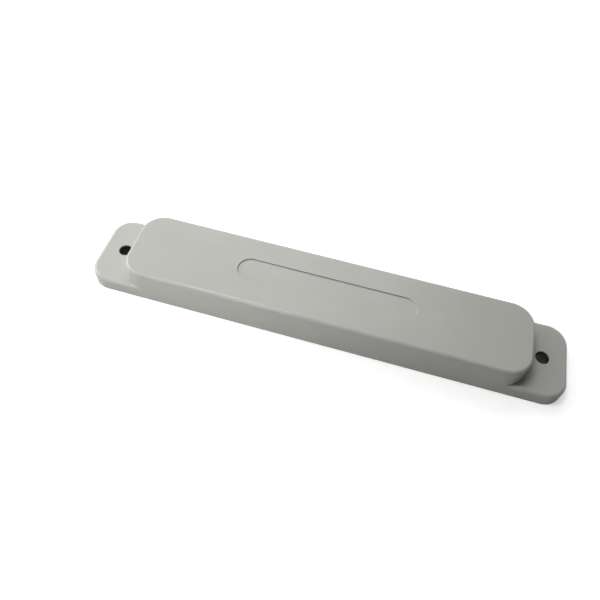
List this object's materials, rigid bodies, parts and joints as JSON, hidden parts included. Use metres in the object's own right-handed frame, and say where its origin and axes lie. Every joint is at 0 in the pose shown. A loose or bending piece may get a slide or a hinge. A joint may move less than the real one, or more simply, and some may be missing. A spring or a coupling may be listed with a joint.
{
  "type": "on-metal radio tag for a security gate",
  "caption": "Long slim sealed radio tag for metal surfaces: raised block with a label recess, two screw ears, and an antenna board, ground plane and chip inside.",
  "frame": {"origin": "centre of the flat underside", "axes": "+X along the housing, +Y across it, +Z out of its face"},
  "size_m": [0.1562, 0.0264, 0.0128],
  "materials": {
    "housing_plastic": "fine satin moulded ABS",
    "base_plastic": "matte moulded ABS",
    "epoxy_seal": "cured dark epoxy",
    "adhesive_tape": "double-sided tape",
    "tinned_copper": "tinned sheet",
    "spacer_plastic": "natural polypropylene",
    "board_laminate": "green masked glass-epoxy",
    "bare_copper": "rolled copper",
    "chip_package": "moulded epoxy package",
    "solder": "bright solder",
    "strap_copper": "folded copper strip",
    "rivet_nylon": "natural nylon",
    "pad_foam": "closed-cell foam",
    "black_steel": "black oxide"
  },
  "bodies": {
    "root": {"cover": "housing_plastic", "base_plate": "base_plastic", "base_seal": "epoxy_seal", "ground_tape": "adhesive_tape", "ground_plane": "tinned_copper", "spacer_core": "spacer_plastic", "antenna_board": "board_laminate", "right_radiator": "bare_copper", "left_radiator": "bare_copper", "feed_lines": "bare_copper", "tuning_line": "bare_copper", "tag_chip": "chip_package", "chip_solder": "solder", "right_strap": "strap_copper", "left_strap": "strap_copper", "strap_solder": "solder", "board_rivets": "rivet_nylon", "right_foam_pad": "pad_foam", "left_foam_pad": "pad_foam", "right_ear_sleeve": "black_steel", "left_ear_sleeve": "black_steel"}
  },
  "joints": []
}
